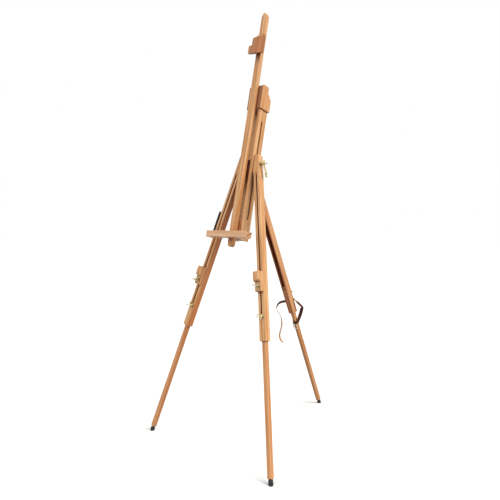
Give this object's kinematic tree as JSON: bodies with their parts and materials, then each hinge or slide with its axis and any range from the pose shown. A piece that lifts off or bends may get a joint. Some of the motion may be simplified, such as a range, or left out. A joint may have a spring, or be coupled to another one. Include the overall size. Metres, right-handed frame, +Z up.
{
  "type": "field easel",
  "caption": "Folding tripod field easel: telescopic legs with canvas pegs, and a tilting, sliding mast with a canvas tray and a top holder.",
  "frame": {"origin": "on the floor, at the middle of the box that holds the standing easel", "axes": "+Z up, -Y the front where the canvas stands, +X the right-hand side seen from the front"},
  "size_m": [0.8942, 1.0159, 2.3022],
  "materials": {
    "beech": "oiled beech",
    "beech_block": "oiled beech, end-grain blocks",
    "brass": "plated brass, slightly worn",
    "rubber": "matt black rubber",
    "handle": "black grained handle",
    "leather": "dark brown strap leather"
  },
  "bodies": {
    "right_leg": {"right_leg_channel": "beech", "right_leg_head": "beech", "right_leg_keeper": "beech_block"},
    "left_leg": {"left_leg_channel": "beech", "left_leg_head": "beech", "left_leg_keeper": "beech_block", "carry_handle": "handle", "handle_plates": "handle", "handle_screws": "brass"},
    "rear_leg": {"rear_leg_channel": "beech", "rear_leg_head": "beech", "rear_leg_keeper": "beech_block", "leather_strap": "leather", "strap_buckle": "brass", "strap_rivets": "brass"},
    "right_lower_leg": {"right_lower_leg": "beech", "right_foot": "rubber", "right_leg_bolt": "brass", "right_leg_washer": "brass"},
    "left_lower_leg": {"left_lower_leg": "beech", "left_foot": "rubber", "left_leg_bolt": "brass", "left_leg_washer": "brass"},
    "rear_lower_leg": {"rear_lower_leg": "beech", "rear_foot": "rubber", "rear_leg_bolt": "brass", "rear_leg_washer": "brass"},
    "right_leg_wing_nut": {"right_leg_wing_nut": "brass"},
    "left_leg_wing_nut": {"left_leg_wing_nut": "brass"},
    "rear_leg_wing_nut": {"rear_leg_wing_nut": "brass"},
    "right_peg": {"right_peg": "beech", "right_peg_bolt": "brass", "right_peg_washer": "brass"},
    "right_peg_wing_nut": {"right_peg_wing_nut": "brass"},
    "left_peg": {"left_peg": "beech", "left_peg_bolt": "brass", "left_peg_washer": "brass"},
    "left_peg_wing_nut": {"left_peg_wing_nut": "brass"},
    "pivot": {"pivot_bolt": "brass", "pivot_washers": "brass"},
    "lock_lever": {"lock_lever": "brass"},
    "mast": {"left_rail": "beech", "right_rail": "beech", "mast_bar": "beech", "mast_head": "beech_block", "mast_foot_block": "beech_block", "tray": "beech", "tray_screws": "brass", "mast_head_screws": "brass"},
    "top_holder": {"top_holder": "beech_block"},
    "holder_screw": {"holder_screw": "brass"}
  },
  "joints": [
    {"name": "left_leg_fold", "type": "hinge", "parent": "right_leg", "child": "left_leg", "pos_m": [0, -0.1625, 1.47], "axis": [1, 0, 0], "range_deg": [0, 35]},
    {"name": "rear_leg_fold", "type": "hinge", "parent": "right_leg", "child": "rear_leg", "pos_m": [0, -0.1625, 1.47], "axis": [-1, 0, 0], "range_deg": [0, 29]},
    {"name": "mast_tilt", "type": "hinge", "parent": "right_leg", "child": "pivot", "pos_m": [0, -0.1625, 1.47], "axis": [-1, 0, 0], "range_deg": [-4, 77.8]},
    {"name": "mast_slide", "type": "slide", "parent": "pivot", "child": "mast", "axis": [0, 0.2113, 0.9774], "range_m": [-0.22, 0.25]},
    {"name": "lock_lever_turn", "type": "hinge", "parent": "pivot", "child": "lock_lever", "pos_m": [0, -0.1625, 1.47], "axis": [1, 0, 0], "range_deg": [0, 270]},
    {"name": "left_lower_leg_slide", "type": "slide", "parent": "left_leg", "child": "left_lower_leg", "axis": [0.2437, 0.2167, 0.9453], "range_m": [0, 0.35]},
    {"name": "right_lower_leg_slide", "type": "slide", "parent": "right_leg", "child": "right_lower_leg", "axis": [-0.2437, 0.2167, 0.9453], "range_m": [0, 0.35]},
    {"name": "rear_lower_leg_slide", "type": "slide", "parent": "rear_leg", "child": "rear_lower_leg", "axis": [0, -0.4106, 0.9118], "range_m": [0, 0.54]},
    {"name": "left_peg_slide", "type": "slide", "parent": "left_lower_leg", "child": "left_peg", "axis": [0.2437, 0.2167, 0.9453], "range_m": [-0.07, 0.15]},
    {"name": "left_peg_wing_nut_turn", "type": "hinge", "parent": "left_peg", "child": "left_peg_wing_nut", "pos_m": [-0.21935, -0.3547, 0.85537], "axis": [0, -0.9747, 0.2235], "range_deg": [0, 360]},
    {"name": "right_peg_slide", "type": "slide", "parent": "right_lower_leg", "child": "right_peg", "axis": [-0.2437, 0.2167, 0.9453], "range_m": [-0.07, 0.15]},
    {"name": "right_peg_wing_nut_turn", "type": "hinge", "parent": "right_peg", "child": "right_peg_wing_nut", "pos_m": [0.21935, -0.3547, 0.85537], "axis": [0, -0.9747, 0.2235], "range_deg": [0, 360]},
    {"name": "left_leg_wing_nut_turn", "type": "hinge", "parent": "left_lower_leg", "child": "left_leg_wing_nut", "pos_m": [-0.25493, -0.36685, 0.71288], "axis": [0, -0.9747, 0.2235], "range_deg": [0, 360]},
    {"name": "right_leg_wing_nut_turn", "type": "hinge", "parent": "right_lower_leg", "child": "right_leg_wing_nut", "pos_m": [0.25493, -0.36685, 0.71288], "axis": [0, -0.9747, 0.2235], "range_deg": [0, 360]},
    {"name": "rear_leg_wing_nut_turn", "type": "hinge", "parent": "rear_lower_leg", "child": "rear_leg_wing_nut", "pos_m": [0, 0.19664, 0.74558], "axis": [0, 0.9118, 0.4106], "range_deg": [0, 360]},
    {"name": "top_holder_slide", "type": "slide", "parent": "mast", "child": "top_holder", "axis": [0, 0.2113, 0.9774], "range_m": [-0.14, 0.1]},
    {"name": "holder_screw_turn", "type": "hinge", "parent": "top_holder", "child": "holder_screw", "pos_m": [0, -0.07314, 2.13411], "axis": [1, 0, 0], "range_deg": [0, 360]}
  ]
}
